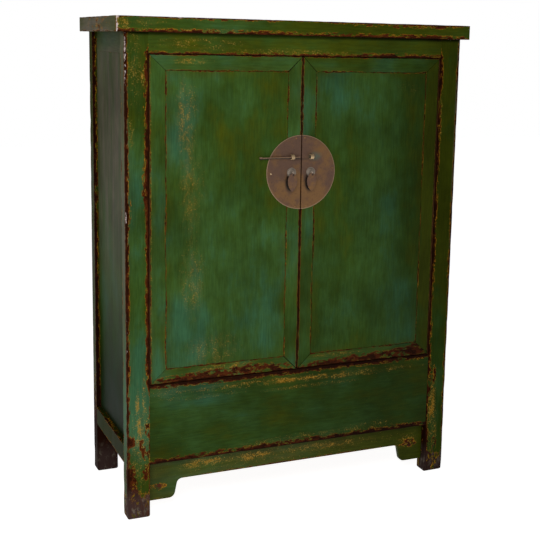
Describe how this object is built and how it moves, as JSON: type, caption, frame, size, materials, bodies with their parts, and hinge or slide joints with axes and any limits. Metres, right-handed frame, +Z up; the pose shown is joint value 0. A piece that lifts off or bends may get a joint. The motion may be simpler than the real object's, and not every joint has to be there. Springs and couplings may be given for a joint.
{
  "type": "accent cabinet",
  "caption": "Free-standing worn lacquer cabinet with hinged panelled doors, a split round lock plate with a sliding pin, drop pulls, a hidden lower compartment and a shaped apron",
  "frame": {"origin": "on the floor under the middle of the cabinet", "axes": "+Z up, +X to the right seen from the front, +Y to the back, so the doors face -Y"},
  "size_m": [1.26, 0.52, 1.64],
  "materials": {
    "green_lacquer": "worn green lacquer",
    "bare_timber": "plain darkened timber",
    "brown_copper": "dull brown patina",
    "bright_brass": "rubbed bright",
    "grey_bronze": "grey patina"
  },
  "bodies": {
    "carcass": {"back_bottom_rail": "bare_timber", "back_left_post": "green_lacquer", "back_panel": "bare_timber", "back_right_post": "green_lacquer", "back_top_rail": "bare_timber", "bottom_board": "bare_timber", "floor_back_bearer": "bare_timber", "floor_middle_bearer": "bare_timber", "floor_side_bearers": "bare_timber", "front_apron": "green_lacquer", "front_bottom_rail": "bare_timber", "front_left_post": "green_lacquer", "front_right_post": "green_lacquer", "front_top_rail": "green_lacquer", "left_bottom_rail": "green_lacquer", "left_side_panel": "green_lacquer", "left_top_rail": "green_lacquer", "lower_front_board": "green_lacquer", "right_bottom_rail": "green_lacquer", "right_side_panel": "green_lacquer", "right_top_rail": "green_lacquer", "shelf": "bare_timber", "shelf_back_bearer": "bare_timber", "shelf_side_bearers": "bare_timber", "sill_rail": "green_lacquer", "top_back_member": "green_lacquer", "top_battens": "bare_timber", "top_front_member": "green_lacquer", "top_left_member": "green_lacquer", "top_panel": "green_lacquer", "top_right_member": "green_lacquer"},
    "left_door": {"left_door_battens": "bare_timber", "left_door_bottom_rail": "green_lacquer", "left_door_hinge_stile": "green_lacquer", "left_door_meeting_stile": "green_lacquer", "left_door_panel": "green_lacquer", "left_door_top_rail": "green_lacquer", "left_moon_plate": "brown_copper", "left_pull_boss": "grey_bronze", "left_pull_ring": "grey_bronze", "left_staple": "bright_brass"},
    "right_door": {"right_door_battens": "bare_timber", "right_door_bottom_rail": "green_lacquer", "right_door_hinge_stile": "green_lacquer", "right_door_meeting_stile": "green_lacquer", "right_door_panel": "green_lacquer", "right_door_top_rail": "green_lacquer", "right_moon_plate": "brown_copper", "right_pull_boss": "grey_bronze", "right_pull_ring": "grey_bronze", "right_staple": "bright_brass"},
    "lock_pin": {"lock_pin": "bright_brass"},
    "left_pull": {"left_pull": "grey_bronze"},
    "right_pull": {"right_pull": "grey_bronze"},
    "left_floor_board": {"left_floor_board": "bare_timber"},
    "right_floor_board": {"right_floor_board": "bare_timber"}
  },
  "joints": [
    {"name": "left_door_hinge", "type": "hinge", "parent": "carcass", "child": "left_door", "pos_m": [-0.506, -0.23, 0.991], "axis": [0, 0, -1], "range_deg": [0, 100]},
    {"name": "left_pull_swing", "type": "hinge", "parent": "left_door", "child": "left_pull", "pos_m": [-0.035, -0.2532, 1.142], "axis": [-1, 0, 0], "range_deg": [0, 95]},
    {"name": "left_floor_board_lift", "type": "slide", "parent": "carcass", "child": "left_floor_board", "axis": [0, 0, 1], "range_m": [0, 0.15]},
    {"name": "right_door_hinge", "type": "hinge", "parent": "carcass", "child": "right_door", "pos_m": [0.506, -0.23, 0.991], "axis": [0, 0, 1], "range_deg": [0, 100]},
    {"name": "right_pull_swing", "type": "hinge", "parent": "right_door", "child": "right_pull", "pos_m": [0.035, -0.2532, 1.142], "axis": [-1, 0, 0], "range_deg": [0, 95]},
    {"name": "right_floor_board_lift", "type": "slide", "parent": "carcass", "child": "right_floor_board", "axis": [0, 0, 1], "range_m": [0, 0.15]},
    {"name": "lock_pin_slide", "type": "slide", "parent": "left_door", "child": "lock_pin", "axis": [1, 0, 0], "range_m": [-0.02, 0.068]}
  ]
}
